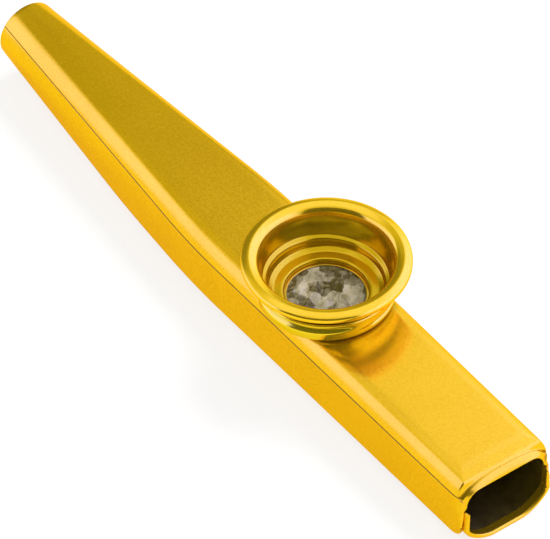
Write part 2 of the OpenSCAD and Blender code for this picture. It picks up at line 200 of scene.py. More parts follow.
class KazooFinish(PropertyGroup):
    """Colours and roughness of the finishes."""
    gold: colour("Gold", "Anodised gold of the body", (0.93, 0.59, 0.02))
    gold_deep: colour("Deep gold", "Darker specks in the gold", (0.84, 0.52, 0.015))
    turret_gold: colour("Turret gold", "Anodised gold of the spun turret", (0.93, 0.65, 0.03))
    outer_gold: colour("Outer gold", "Anodised gold of the turret's outside", (0.93, 0.73, 0.035))
    outer_deep: colour("Deep outer gold", "Darker specks in the outer gold", (0.893, 0.701, 0.034))
    gold_ring: colour("Ring gold", "Polished slip ring", (0.95, 0.66, 0.12))
    # The inside colour is dull metal, darkened as painted shade for the shade inside the body.
    inside: colour("Inside", "Dull metal inside the body", (0.16, 0.115, 0.01))
    # The line colour is painted shade: it darkens the scored crease where shade falls.
    line: colour("Line", "Darkened metal in the scored crease", (0.2, 0.13, 0.01))
    # The two film colours paint light and shade: pale for facets that catch the light, dark for the shaded
    # hollow under the film.
    film_painted_light: colour("Pale film", "Bright patches of the film", (0.52, 0.47, 0.33))
    film_painted_shade: colour("Dark film", "Where the dark body shows through the film", (0.05, 0.038, 0.012))
    card: colour("Card", "Grey-brown card of the washer", (0.3, 0.22, 0.14))
    # The next two tints, and the distances and heights after them, paint shade: they darken the gold round
    # the turret's foot and down in the bell, where it lies in shade.
    painted_shade: colour("Painted shade", "Tint of the tarnish round the turret's foot", (0.45, 0.47, 0.4))
    well_painted_shade: colour("Well tarnish", "Tint of the tarnish down in the bell", (0.72, 0.73, 0.4))
    foot_near: length("Full tarnish", "Distance from the axis up to which the foot is tarnished", 9.7)
    foot_far: length("Foot tarnish end", "Distance at which the foot's tarnish ends", 11.2)
    foot_low: length("Foot tarnish low", "Height at which the foot's tarnish starts", 12.1)
    foot_high: length("Foot tarnish high", "Height at which the foot's tarnish is full", 12.6)
    well_near: length("Full well tarnish", "Distance from the axis up to which the bell is tarnished", 9.75)
    well_far: length("Well tarnish end", "Distance at which the bell's tarnish ends", 10.5)
    satin: share("Satin roughness", "Roughness of the body's finish", 0.21)
    spun: share("Spun roughness", "Roughness of the turret's finish", 0.15)
    metal: share("Metal", "Metallic share of the golds", 0.88)
    gold_glance: colour("Gold glance", "Tint of the golds' glancing reflections", (1, 0.72, 0.03))
    film_glance: colour("Film glance", "Tint of the film's reflections", (1, 0.95, 0.08))


class KazooStudio(PropertyGroup):
    """The camera's place and the studio's light."""
    azimuth: angle("Azimuth", "Camera's turn round the kazoo", 53.469)
    elevation: angle("Elevation", "Camera's height above the horizon", 45.858)
    roll: angle("Roll", "Camera's roll", -0.299)
    distance: length("Distance", "From the camera to its aim", 1202.97)
    aim: FloatVectorProperty(name="Aim", description="Point that the camera looks at", size=3,
                             default=(-1.35 * MM, 0, 1.9 * MM), unit="LENGTH", precision=5)
    lens: FloatProperty(name="Lens", description="Focal length", default=523.7, unit="CAMERA")
    tent_r: length("Tent radius", "Radius of the light tent that reflections show", 350)
    room_level: FloatProperty(name="Room level", description="Brightness of the room for matt surfaces",
                              default=0.55, min=0)
    floor_glow: share("Floor glow", "Share of the table's white that takes no shadow", 0.72)
    floor_reflected: colour("Reflected floor", "Colour of the table in reflections", (0.95, 0.8, 0.3))
    shift: FloatVectorProperty(name="Shift", description="Camera shift, as shares of the width",
                               size=2, default=(0.0355, 0.0112))


# Surfaces

def mix(a, b, part):
    """The value that lies the given share of the way from a to b."""
    return a + (b - a) * part


def smooth(part):
    """Smooth step: 3 s squared minus 2 s cubed, with s held between 0 and 1."""
    s = np.clip(part, 0.0, 1.0)
    return s * s * (3 - 2 * s)


def ramp(d, r):
    """Nothing before the knee and one for one after it, joined by a parabola over r to both sides."""
    return np.where(d <= -r, 0.0, np.where(d >= r, d, (d + r) ** 2 / (4 * r)))


def moved_in(points, depth):
    """Outlines moved square to themselves, to the right of their way, by a depth for each point.

    points has the shape (..., n, 2). The way at a point is the difference of its neighbours.
    """
    way = np.gradient(points, axis=-2)
    way /= np.linalg.norm(way, axis=-1, keepdims=True)
    right = np.stack([way[..., 1], -way[..., 0]], axis=-1)
    return points + right * np.asarray(depth)[..., None]


def quarter(steps):
    """Angles of a quarter turn, without the first one."""
    return np.linspace(0, math.pi / 2, steps + 1)[1:]


def quads(ids):
    """Faces of a grid of point numbers, as rows of four corners."""
    return np.stack([ids[:-1, :-1], ids[:-1, 1:], ids[1:, 1:], ids[1:, :-1]], axis=-1).reshape(-1, 4)


def signed_volume(points, faces):
    """Volume inside the faces: the sum of the pyramids from the origin to each half face."""
    a, b, c, d = (points[faces[:, i]] for i in range(4))
    return (np.einsum("ij,ij->i", a, np.cross(b, c)).sum()
            + np.einsum("ij,ij->i", a, np.cross(c, d)).sum()) / 6


def linked(name, data):
    """A new object in the scene."""
    obj = bpy.data.objects.new(name, data)
    bpy.context.scene.collection.objects.link(obj)
    return obj


def mesh_object(name, points, faces, slots, finishes):
    """An object with smooth faces that point outwards; slots gives each face's material number."""
    if signed_volume(points, faces) < 0:
        faces = faces[:, ::-1]
    mesh = bpy.data.meshes.new(name)
    mesh.vertices.add(len(points))
    mesh.vertices.foreach_set("co", points.astype(np.float32).ravel())
    mesh.loops.add(faces.size)
    mesh.loops.foreach_set("vertex_index", faces.astype(np.int32).ravel())
    mesh.polygons.add(len(faces))
    mesh.polygons.foreach_set("loop_start", np.arange(0, faces.size, 4, dtype=np.int32))
    mesh.polygons.foreach_set("material_index", slots.astype(np.int32))
    mesh.update(calc_edges=True)
    if mesh.validate():
        raise ValueError(f"{name} has a faulty face")
    mesh.shade_smooth()
    for finish in finishes:
        mesh.materials.append(finish)
    return linked(name, mesh)


def sheet_object(name, outside, inside, finishes, lines=(), front=0):
    """A closed sheet from two grids of the same shape that share their border points.

    The outside takes the first finish, its strips in lines the second and the inside the last one. The
    last rows of both, as many as front says, take the first one.
    """
    rows, columns = outside.shape[:2]
    count = rows * columns
    out_ids = np.arange(count).reshape(rows, columns)
    in_ids = out_ids + count
    border = np.ones((rows, columns), bool)
    border[1:-1, 1:-1] = False
    in_ids[border] = out_ids[border]
    points = np.concatenate([outside.reshape(-1, 3), inside.reshape(-1, 3)])
    faces = np.concatenate([quads(out_ids), quads(in_ids)[:, ::-1]])
    used, faces = np.unique(faces, return_inverse=True)
    faces = faces.reshape(-1, 4)
    slots = np.zeros((2, rows - 1, columns - 1), int)
    slots[0][:rows - 1 - front, list(lines)] = 1
    slots[1][:rows - 1 - front] = len(finishes) - 1
    return mesh_object(name, points[used], faces, slots.ravel(), finishes)


def wall_object(name, loops, finishes):
    """A closed ring from cross-sections of radius and height, one for each turn about the axis.

    The first half of a section is its outside and takes the last finish, the rest takes the first one.
    """
    turns = np.linspace(0, 2 * math.pi, len(loops), endpoint=False)[:, None]
    r, z = loops[..., 0], loops[..., 1]
    points = np.stack([TURRET_AXIS.x + r * np.cos(turns), TURRET_AXIS.y + r * np.sin(turns), z], axis=-1)
    ids = np.arange(r.size).reshape(r.shape)
    ids = np.pad(ids, ((0, 1), (0, 1)), mode="wrap")
    faces = quads(ids)
    slots = np.zeros(r.shape, int)
    slots[:, :r.shape[1] // 2] = len(finishes) - 1
    return mesh_object(name, points.reshape(-1, 3), faces, slots.ravel(), finishes)


# Body

class Body:
    """The body as a surface. x runs along it and columns run round its section.

    A column has the angle of its point on the round mouth, its share of the half width with the
    set-in from there, its height on the body, how far it follows the belly's knee, and the turn of
    the rounding at a free edge, with the side's sign before it. Each place is a mix of the round mouth
    and the body's section.

    corner_lean is 1 for an elliptic belly corner, and more for a leaner one. flange_follow is how far
    the flange's free edge follows the belly's knee, and belly_shares are places across the flat belly.
    The steps are counts of columns or rows, and lip_rows are the rows that go over the lip's face.
    """
    flat_angle, crease_angle, foot_angle, edge_angle = (math.radians(a) for a in (66, 36, -20, -54))
    flange_angle, belly_angle = (math.radians(a) for a in (2, -80))
    corner_lean = 1.3
    flange_follow = 0.5
    belly_shares = (0.35, 0.7, 1)
    flat_steps, crown_steps, shoulder_steps, skirt_steps, curl_steps = 11, 8, 23, 12, 4
    flange_steps, corner_steps = 9, 25
    edge_steps = 4
    long_steps = 170
    nose_steps = 16
    hem_steps = 8
    lip_rows = 10

    def __init__(self, s, f):
        low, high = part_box("upper_shell")
        self.s, self.f = s, f
        self.mouth_x, self.lip_x, self.top_z = low.x, high.x, high.z
        self.hem_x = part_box("lower_shell")[1].x
        self.nose_x = self.lip_x - f.lip_back - f.nose_l
        self.crease_z = self.top_z - s.shoulder_h
        self.flange_z = self.crease_z - s.flange_drop
        self.foot_z = s.skirt_rise + s.skirt_curl_h
        self.mouth_z = s.mouth_rise + s.mouth_d / 2
        self.round = s.sheet_t / 2
        self.inner = s.sheet_t + s.shell_gap
        self.arc_a = s.shoulder_w / math.cos(s.crease_tilt)
        self.arc_b = s.shoulder_h / (1 - math.sin(s.crease_tilt))
        self.arc_start = math.atan2(self.arc_b, self.arc_a * math.tan(s.crown_turn))
        self.crown = math.tan(s.crown_turn) * s.crown_w / 2

    def outline(self, x, columns, mouth_r):
        """Height and width of every column at every x, as an array of (x, column, 2)."""
        s = self.s
        angle_at, wide, set_in, z, low, side_sign = columns[:6]
        past = (x[:, None] if x.ndim == 1 else x) - self.mouth_x
        after_knee = ramp(past - s.knee_dist, s.knee_round)
        side = (past - after_knee) / s.knee_dist
        belly = (past - ramp(past - s.belly_dist, s.knee_round)) / s.belly_dist
        half_w = mix(s.knee_w, s.open_w, after_knee / (self.hem_x - self.mouth_x - s.knee_dist)) / 2
        y = mix(mouth_r * np.cos(angle_at), half_w * wide - set_in, side)
        height = mix(self.mouth_z + mouth_r * np.sin(angle_at), z, mix(side, belly, low))
        return np.stack([y * side_sign, height], axis=-1)

    def whole(self, half):
        """Columns of both sides, from the left free edge to the right one."""
        half = np.array(half).T
        left = half[:, :0:-1]
        signs = np.concatenate([-np.ones(left.shape[1]), np.ones(half.shape[1])])
        both = np.concatenate([left, half], axis=1)
        return np.concatenate([both[:5], signs[None], both[5:]])

    def upper_columns(self):
        """The flat top with sloping borders, an arc for the shoulder, the crease, the skirt and its curl.

        The border falls as the square of its width. The shoulder is an elliptic arc that starts with
        the border's slope; what the border has fallen too far fades out evenly over the arc's turn.
        """
        s = self.s
        inset = self.arc_a * math.cos(self.arc_start)
        flat_end = 1 - (s.crown_w - inset) / (s.knee_w / 2 - s.shoulder_w)
        half = [(mix(math.pi / 2, self.flat_angle, t), t, t * s.shoulder_w, self.top_z, 0, 0)
                for t in np.linspace(0, flat_end, self.flat_steps + 1)]
        half += [(mix(math.pi / 2, self.flat_angle, mix(flat_end, 1, q)), mix(flat_end, 1, q),
                  mix(flat_end * s.shoulder_w, s.shoulder_w - inset, q),
                  self.top_z - self.crown * q * q, 0, 0)
                 for q in np.linspace(0, 1, self.crown_steps + 1)[1:]]
        extra = self.crown - self.arc_b * (1 - math.sin(self.arc_start))
        line = s.crease_w / 2 / math.hypot(s.shoulder_w, s.shoulder_h)
        plain = np.linspace(0, 1 - 3 * line, self.shoulder_steps + 1)[1:]
        for t in [*plain, 1 - 2 * line, 1 - line, 1]:
            turn = mix(self.arc_start, s.crease_tilt, t)
            half.append((mix(self.flat_angle, self.crease_angle, t), 1,
                         s.shoulder_w - self.arc_a * math.cos(turn),
                         self.top_z - self.arc_b * (1 - math.sin(turn)) - extra * (1 - t), 0, 0))
        skirt_h = self.crease_z - self.foot_z
        near = s.crease_w / 2 / skirt_h
        for t in [near, 2 * near, *np.linspace(0, 1, self.skirt_steps + 1)[1:]]:
            half.append((mix(self.crease_angle, self.foot_angle, t), 1, 0,
                         self.crease_z - t * skirt_h, t, 0))
        edge = self.round / s.skirt_curl_h
        for t, turn in [*((t, 0) for t in np.linspace(0, 1 - edge, self.curl_steps + 1)[1:]),
                        *((1 - edge * (1 - math.sin(a)), a) for a in quarter(self.edge_steps))]:
            half.append((mix(self.foot_angle, self.edge_angle, t), 1, s.skirt_curl * t * t,
                         mix(self.foot_z, s.skirt_rise, t), 1, turn))
        return self.whole(half)

    def lower_columns(self):
        """The flange with a rounded free edge, a lean corner and the flat belly."""
        s = self.s
        lean = self.corner_lean
        edge = self.round / (self.flange_z - s.belly_h)
        places = [(edge * (1 - math.sin(a)), a) for a in quarter(self.edge_steps)[::-1]]
        places += [(u, 0) for u in np.linspace(edge, 1, self.flange_steps + 1)]
        half = [(mix(self.flange_angle, self.foot_angle, u), 1, self.inner,
                 mix(self.flange_z, s.belly_h, u), mix(self.flange_follow, 1, u), turn)
                for u, turn in places]
        for t in np.linspace(0, 1, self.corner_steps + 1)[1:]:
            wide = max(math.cos(math.pi / 2 * t), 0) ** lean
            half.append((mix(self.foot_angle, self.belly_angle, t), wide,
                         self.inner * wide - s.belly_flat / 2 * (1 - wide),
                         s.belly_h * (1 - math.sin(math.pi / 2 * t) ** lean), 1, 0))
        half += [(mix(self.belly_angle, -math.pi / 2, t), 0, -s.belly_flat / 2 * (1 - t), 0, 1, 0)
                 for t in self.belly_shares]
        return self.whole(half[::-1])[:, ::-1]

    def rings(self, start, end, steps):
        """Places of the rings from the rounded mouth edge to end, and the turns of that rounding."""
        turns = np.concatenate([quarter(self.edge_steps)[::-1], np.zeros(steps + 1)])
        plain = np.linspace(start + self.round, end, steps + 1)
        edge = start + self.round * (1 - np.sin(turns[:self.edge_steps]))
        return np.concatenate([edge, plain]), turns


def edge_depths(thickness, ring_turns, column_turns):
    """Depths of both faces of a sheet whose borders are rounded to meet at half its thickness."""
    reach = 1 - np.cos(ring_turns)[:, None] * np.cos(column_turns)[None]
    return thickness / 2 * reach, thickness * (1 - reach / 2)


def with_x(x, section):
    """Section points with their place along the body in front."""
    along = np.broadcast_to(np.asarray(x)[:, None] if np.ndim(x) == 1 else x, section.shape[:-1])
    return np.concatenate([along[..., None], section], axis=-1)


def crease_depth(body, columns):
    """Depth of the scored line: all of it on the crease's own column and nothing beside it."""
    on_crease = (np.abs(columns[3] - body.crease_z) < NEARLY_ZERO) & (columns[4] == 0)
    return np.where(on_crease, body.s.crease_deep, 0.0)


def tucked(body, x, end_x, z):
    """How far the sides are tucked in up to end_x: all of it above the flanges, nothing at the belly."""
    f = body.f
    turned = np.clip((x - end_x + f.tuck_l) / f.tuck_l, 0, 1)
    high = smooth((z - body.s.belly_h) / (body.flange_z - body.s.belly_h))
    high = high * smooth((body.top_z - z) / (body.top_z - body.crease_z))
    return f.tuck * high * (1 - np.sqrt(1 - turned ** 2))


def front_outline(body, x, end_x, columns, mouth_r):
    """The outline at the open end, whose nose ends at end_x.

    The nose is an arc of nose_turn, and the lower of arc and shoulder counts, so the two meet in a
    mitre. A short step at its end leads down to the front line, which falls from its middle as a
    power of the width and meets the crease. The skirt's lower corner rises on a quarter circle.
    """
    s, f = body.s, body.f
    section = body.outline(x, columns, mouth_r)
    z = columns[3]
    over = np.clip(1 - (end_x - x) / f.nose_l, 0, 1)
    down = (1 - np.cos(np.arcsin(over * math.sin(f.nose_turn)))) / (1 - math.cos(f.nose_turn))
    nose_z = np.minimum(section[..., 1], body.top_z - f.nose_drop * down)
    bow = np.clip(np.abs(section[..., 0]) / (s.open_w / 2), 0, 1) ** f.nose_bow
    line = np.minimum(nose_z, body.top_z - mix(f.nose_drop, s.shoulder_h, bow))
    nose_z = mix(nose_z, line, smooth(1 - (end_x - x) / f.nose_step))
    section[..., 1] = np.where(z >= body.crease_z, nose_z, section[..., 1])
    section[..., 0] -= columns[5] * tucked(body, x, end_x, z)
    lifted = np.clip((x - (body.lip_x - s.skirt_corner_r)) / s.skirt_corner_r, 0, 1)
    foot_part = np.clip((body.flange_z - z) / (body.flange_z - s.skirt_rise), 0, 1) ** 2
    section[..., 1] += foot_part * s.skirt_corner_r * (1 - np.sqrt(1 - lifted ** 2))
    return section


# Where the lip's side changes: its bend comes in downwards from BEND_UP above the crease, and its slot
# and its line come in upwards from SLOT_DOWN and LINE_DOWN below it, each over its own span.
# LINE_LEAST is the line's least width as a share.
BEND_UP, BEND_SPAN = 0.3 * MM, 0.8 * MM
SLOT_DOWN, SLOT_SPAN = 0.25 * MM, 0.25 * MM
LINE_DOWN, LINE_SPAN = 0.5 * MM, 0.4 * MM
LINE_LEAST = 0.25
# Share of the shoulder over which the slot opens, and the power by which the lip's corner turns.
SLOT_SHARE = 0.7
CORNER_POWER = 0.6
# Power by which the scored line fades out over the nose.
SCORE_POWER = 4
# Places of the rows as shares: of the line's width, of the lip's face past the line, and of its back,
# which starts a little below the nose.
LINE_SHARES = (0.2, 0.75)
FACE_SHARES = (0, 0.25, 0.6, 1)
BACK_SHARES = (0, 0.2, 0.4, 0.6, 0.8, 1)
BACK_START = 0.1


def lip_edge(body, columns):
    """The lip's edge for each column: straight below the top, a round corner and a straight side."""
    f = body.f
    z = columns[3]
    half_w = f.lip_w / 2
    top = body.top_z - f.lip_drop
    flat = z >= body.top_z - body.crown - NEARLY_ZERO
    across = np.where(flat, columns[1] * (half_w - f.lip_corner), 0)
    down = np.clip((body.top_z - body.crown - z) / (body.s.shoulder_h - body.crown), 0, 1)
    turn = math.pi / 2 * down ** CORNER_POWER
    corner_y = half_w - f.lip_corner * (1 - np.sin(turn))
    corner_z = top - f.lip_corner * (1 - np.cos(turn))
    side_z = mix(top - f.lip_corner, body.flange_z + body.s.shell_gap + f.lip_end,
                 (body.crease_z - z) / (body.crease_z - body.flange_z - body.s.shell_gap - f.lip_end))
    y = np.where(flat, across, np.where(z >= body.crease_z, corner_y, half_w))
    height = np.where(flat, top, np.where(z >= body.crease_z, corner_z, side_z))
    return np.stack([y * columns[5], height], axis=-1)


def upper_shell_grids(body):
    """Both faces of the upper shell, from the mouth over the nose and in to the lip's edge."""
    s, f = body.s, body.f
    columns = body.upper_columns()
    column_turns = columns[6]
    mouth_r = s.mouth_d / 2
    score = crease_depth(body, columns)
    z = columns[3]

    x, turns = body.rings(body.mouth_x, body.nose_x, body.long_steps)
    section = body.outline(x, columns, mouth_r)
    out_depth, in_depth = edge_depths(s.sheet_t, turns, column_turns)
    outside = [with_x(x, moved_in(section, out_depth + score))]
    inside = [with_x(x, moved_in(section, in_depth))]

    lip_part = smooth((z - body.flange_z - s.shell_gap) / f.lip_end)
    end_x = body.lip_x - mix(body.round, f.lip_back, lip_part)
    over = np.sin(np.linspace(0, math.pi / 2, body.nose_steps + 1)[1:])[:, None]
    nose = mix(body.nose_x, end_x, over)
    nose_section = front_outline(body, nose, end_x, columns, mouth_r)
    out_depth, in_depth = edge_depths(s.sheet_t, np.zeros(len(over)), column_turns)
    nose_score = score * (1 - over ** SCORE_POWER)
    outside.append(with_x(nose, moved_in(nose_section, out_depth + nose_score)))
    inside.append(with_x(mix(body.nose_x, end_x - 2 * s.sheet_t, over), moved_in(nose_section, in_depth)))

    low_turns = quarter(body.lip_rows)
    low_x = body.lip_x - body.round * (1 - np.sin(low_turns))
    low_at = np.full((len(low_turns), len(z)), body.lip_x)
    low_section = front_outline(body, low_at, body.lip_x, columns, mouth_r)
    low_out, low_in = edge_depths(s.sheet_t, low_turns, column_turns)

    rim = nose_section[-1]
    edge = lip_edge(body, columns)
    way = edge - rim
    reach = np.linalg.norm(way, axis=-1, keepdims=True)
    way = way / np.maximum(reach, NEARLY_ZERO)
    back = (body.lip_x - end_x)[:, None]
    bend = mix(0.5, 1, smooth((body.crease_z + BEND_UP - z) / BEND_SPAN))[:, None]
    long = np.hypot(reach, back)
    shoulder = smooth((np.abs(rim[:, 0]) - s.open_w / 2 + s.shoulder_w) / (SLOT_SHARE * s.shoulder_w))
    above_crease = smooth((z - (body.crease_z - SLOT_DOWN)) / SLOT_SPAN)
    slot = (shoulder * above_crease)[:, None]
    line = smooth((z - (body.crease_z - LINE_DOWN)) / LINE_SPAN)[:, None]
    wide = mix(f.line_w, f.slot_w, slot) * mix(LINE_LEAST, 1, line)
    deep = mix(f.line_deep, f.slot_deep, slot) * line

    def lip_point(part, depth, short=0.0):
        """A point at a share of the way over the lip, under its face by depth and short of it by short.

        The way is a parabola from the rim, by a control point, to the edge. The control point lies
        halfway for the top, so the face is plain there, and at the corner for the sides.
        """
        inward = 2 * part * (1 - part) * (1 - bend) * reach + part ** 2 * reach
        ahead = -(1 - part) ** 2 * back - 2 * part * (1 - part) * (1 - bend) * back
        way_in = 2 * (1 - 2 * part) * (1 - bend) * reach + 2 * part * reach
        way_on = 2 * (1 - part) * back - 2 * (1 - 2 * part) * (1 - bend) * back
        size = np.maximum(np.hypot(way_in, way_on), NEARLY_ZERO)
        inward = inward + (way_on * depth - way_in * short) / size
        ahead = ahead - (way_in * depth + way_on * short) / size
        return np.concatenate([body.lip_x + ahead, rim + way * inward], axis=-1)

    r = body.round
    start = wide / long
    edge_turns = quarter(body.edge_steps)
    lip_outside = np.stack(
        [lip_point(start * part, deep) for part in LINE_SHARES]
        + [lip_point(mix(start, 1 - r / long, part), 0) for part in FACE_SHARES]
        + [lip_point(1, r * (1 - math.cos(a)), r * (1 - math.sin(a))) for a in edge_turns])
    lip_inside = np.stack(
        [lip_point(mix(BACK_START, 1 - r / long, part), s.sheet_t) for part in BACK_SHARES]
        + [lip_point(1, s.sheet_t - r * (1 - math.cos(a)), r * (1 - math.sin(a))) for a in edge_turns])
    outside.append(mix(with_x(low_x, moved_in(low_section, low_out)), lip_outside, lip_part[:, None]))
    inside.append(mix(with_x(low_x, moved_in(low_section, low_in)), lip_inside, lip_part[:, None]))
    return np.concatenate(outside), np.concatenate(inside)


def lower_shell_grids(body):
    """Both faces of the lower shell, which thickens inwards to a round hem at the open end."""
    s = body.s
    columns = body.lower_columns()
    mouth_r = s.mouth_d / 2 - body.inner
    x, turns = body.rings(body.mouth_x, body.hem_x - s.hem_t / 2, body.long_steps + body.nose_steps)
    hem_turns = quarter(body.hem_steps)
    x = np.concatenate([x, body.hem_x - s.hem_t / 2 * (1 - np.sin(hem_turns))])
    turns = np.concatenate([turns, hem_turns])
    thick = mix(s.sheet_t, s.hem_t, smooth((x - (body.hem_x - s.hem_t / 2 - s.hem_l)) / s.hem_l))
    reach = 1 - np.cos(turns)[:, None] * np.cos(columns[6])[None]
    section = body.outline(x, columns, mouth_r)
    thick = thick[:, None]
    set_in = tucked(body, x[:, None], body.lip_x, columns[3])
    middle = (set_in + thick) / 2
    outside = with_x(x, moved_in(section, mix(set_in, middle, reach)))
    inside = with_x(x, moved_in(section, mix(thick, middle, reach)))
    return outside, inside


# Turret

class Turret:
    """Heights and radii of the spun turret, above the table and from its axis.

    The steps are counts of points along the walls, and bead_arc is how far the lip's bead is rolled.
    """
    turns = 192
    collar_steps, cap_steps, flare_steps, foot_steps, bead_steps, ring_steps = 64, 96, 44, 12, 18, 8
    bead_arc = (-0.4 * math.pi, 0.9 * math.pi)

    def __init__(self, s):
        self.s = s
        self.top_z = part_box("upper_shell")[1].z
        self.low_z = self.top_z + s.thread_low
        self.cap_low_z = self.low_z + s.cap_thread_up
        self.high_z = self.top_z + s.thread_high
        self.collar_high_z = self.top_z + s.collar_high
        self.taper = s.thread_spread / (s.thread_high - s.thread_low)
        self.angles = np.linspace(0, 2 * math.pi, self.turns, endpoint=False)

    def cap_r(self, z):
        """Radius of the middle of the bell's thread at a height."""
        return self.s.thread_r + self.taper * (z - self.low_z)

    def collar_r(self, z):
        """Radius of the middle of the collar's thread at a height."""
        return self.cap_r(z) + self.s.spun_t + self.s.thread_play

    def thread(self, radius_at, low_z, high_z, low_end, first, steps):
        """Middle line of a right-hand thread for each turn, from low_z to high_z.

        The place in a turn is height over pitch less azimuth over a whole turn. A root stands between
        two crests, with a smooth flank below and a shorter one above. Roots lower than first or higher
        than the last one run out to the crest. At its lower end the tube has low_end, which is 1 for
        a crest and -1 for a root.
        """
        s = self.s
        z = np.linspace(low_z, high_z, steps)[None]
        start = (self.angles[:, None] + s.thread_start) / (2 * math.pi)
        turn = (z - self.top_z) / s.thread_pitch - start
        place = turn - np.floor(turn)
        root = smooth(place / s.lower_flank) * smooth((1 - place) / s.upper_flank)
        root_z = s.thread_pitch * (np.floor(turn) + start + mix(s.lower_flank, 1 - s.upper_flank, 0.5))
        root = root * smooth((root_z - first) / s.thread_end)
        root = root * smooth((s.thread_last - root_z) / s.thread_end)
        wave = mix(1 - 2 * root, low_end, smooth(1 - (z - low_z - s.thread_lap) / s.thread_fade))
        return np.stack([radius_at(z) + s.thread_depth * wave, np.broadcast_to(z, wave.shape)], axis=-1)

    def spread(self, line):
        """The same plain line for every turn."""
        return np.broadcast_to(np.array(line)[None], (self.turns, len(line), 2))


def filleted(corners, reach, steps=6, long_step=0.25 * MM):
    """A line through corners, each inner one rounded by a parabola that starts reach before it."""
    corners = [np.array(c, float) for c in corners]
    points = [corners[0]]
    for before, corner, after in zip(corners, corners[1:], corners[2:]):
        there = corner + (before - corner) / np.linalg.norm(before - corner) * reach
        back = corner + (after - corner) / np.linalg.norm(after - corner) * reach
        count = max(1, int(np.linalg.norm(there - points[-1]) / long_step))
        points += [mix(points[-1], there, i / count) for i in range(1, count + 1)]
        points += [mix(mix(there, corner, t), mix(corner, back, t), t)
                   for t in np.linspace(0, 1, steps)[1:]]
    count = max(1, int(np.linalg.norm(corners[-1] - points[-1]) / long_step))
    start = points[-1]
    return points + [mix(start, corners[-1], i / count) for i in range(1, count + 1)]


def arc(centre, a, b, start, end, steps):
    """Points of an elliptic arc between two angles."""
    return [(centre[0] + a * math.cos(t), centre[1] + b * math.sin(t))
            for t in np.linspace(start, end, steps)]


def walled(line, thickness, end_outline=None, steps=5):
    """Closed cross-sections from middle lines: both sides of the line, joined by half circles.

    end_outline, if given, takes the place of the half circle at the line's end.
    """
    way = np.gradient(line, axis=1)
    way /= np.linalg.norm(way, axis=-1, keepdims=True)
    right = np.stack([way[..., 1], -way[..., 0]], axis=-1)
    r = thickness / 2
    turns = np.linspace(0, math.pi, steps + 2)[1:-1][None, :, None]

    def cap(point, ahead, side):
        return point + r * (np.cos(turns) * side + np.sin(turns) * ahead)

    end = (cap(line[:, -1:], way[:, -1:], right[:, -1:]) if end_outline is None else end_outline)
    start = cap(line[:, :1], -way[:, :1], -right[:, :1])
    return np.concatenate([line + right * r, end, (line - right * r)[:, ::-1], start], axis=1)


def collar_loops(turret):
    """The collar: seat, well, foot, the rolled thread and a lip with a bead."""
    s = turret.s
    half_t = s.spun_t / 2
    film_seat_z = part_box("card_washer")[0].z
    seat_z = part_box("threaded_collar")[0].z + half_t
    if seat_z > film_seat_z:
        raise ValueError("the collar's seat lies above the card washer")
    well_mid_r = s.well_r + half_t
    foot_z = turret.top_z + half_t
    low_r = turret.collar_r(turret.low_z) + s.thread_depth
    lower = filleted([(s.seat_r, seat_z), (well_mid_r, seat_z), (well_mid_r, foot_z), (s.foot_r, foot_z)],
                     s.fillet)
    lower += arc((s.foot_r, turret.low_z), low_r - s.foot_r, s.thread_low - half_t,
                 -math.pi / 2, 0, turret.foot_steps)[1:-1]
    lip_r = turret.collar_r(turret.collar_high_z) + s.thread_depth
    bead_z = turret.collar_high_z + s.lip_bead_r
    upper = [(lip_r, mix(turret.collar_high_z, bead_z, t)) for t in (0.5, 1)]
    tube = turret.thread(turret.collar_r, turret.low_z, turret.collar_high_z, 1, s.thread_first,
                         turret.collar_steps)
    line = np.concatenate([turret.spread(lower), tube, turret.spread(upper)], axis=1)
    bead = arc((lip_r - half_t + s.lip_bead_r, bead_z), s.lip_bead_r, s.lip_bead_r,
               *turret.bead_arc, turret.bead_steps)
    return walled(line, s.spun_t, turret.spread(bead))


def cubic(a, b, c, d, steps):
    """Points of the cubic curve with the ends a and d and the handles b and c."""
    t = np.linspace(0, 1, steps)[:, None]
    a, b, c, d = (np.array(p, float) for p in (a, b, c, d))
    return list((1 - t) ** 3 * a + 3 * t * (1 - t) ** 2 * b + 3 * t * t * (1 - t) * c + t ** 3 * d)


# Length of the curve's handle at the flare's end, as a share of the flare's width.
FLARE_HANDLE = 0.6


def bell_loops(turret):
    """The bell: spigot, floor, a sloping bend, the rolled thread, a steep wall, a flare and a rim."""
    s = turret.s
    half_t = s.spun_t / 2
    low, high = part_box("bell_cap")
    spigot_mid_r = s.well_r - s.ring_play - half_t
    floor_z = turret.top_z + s.floor_up
    low_r = turret.cap_r(turret.cap_low_z) - s.thread_depth
    lower = filleted([(spigot_mid_r, low.z + half_t), (spigot_mid_r, floor_z), (s.floor_r, floor_z),
                      (low_r, floor_z + s.floor_rise), (low_r, turret.cap_low_z)], s.floor_fillet)[:-1]
    tube = turret.thread(turret.cap_r, turret.cap_low_z, turret.high_z, -1, -s.thread_pitch,
                         turret.cap_steps)
    rim_r = (high.x - low.x) / 2 - half_t
    crest = (rim_r - s.rim_w, high.z - half_t)
    flare_end = (rim_r - s.flare_w, crest[1] - s.flare_slope * (s.flare_w - s.rim_w))
    wall = (turret.cap_r(turret.high_z) + s.thread_depth, turret.high_z)
    handle = s.flare_w * FLARE_HANDLE
    flare = cubic(wall, (wall[0] + s.wall_lean, wall[1] + s.wall_h),
                  (flare_end[0] - handle, flare_end[1] - s.flare_slope * handle), flare_end,
                  turret.flare_steps)[1:]
    rim = filleted([flare_end, crest, (rim_r, crest[1] - s.rim_fall), (rim_r, high.z - s.rim_h),
                    (rim_r - s.rim_hem, high.z - s.rim_h)], s.rim_fillet)[1:]
    line = np.concatenate([turret.spread(lower), tube, turret.spread(flare + rim)], axis=1)
    return walled(line, s.spun_t)


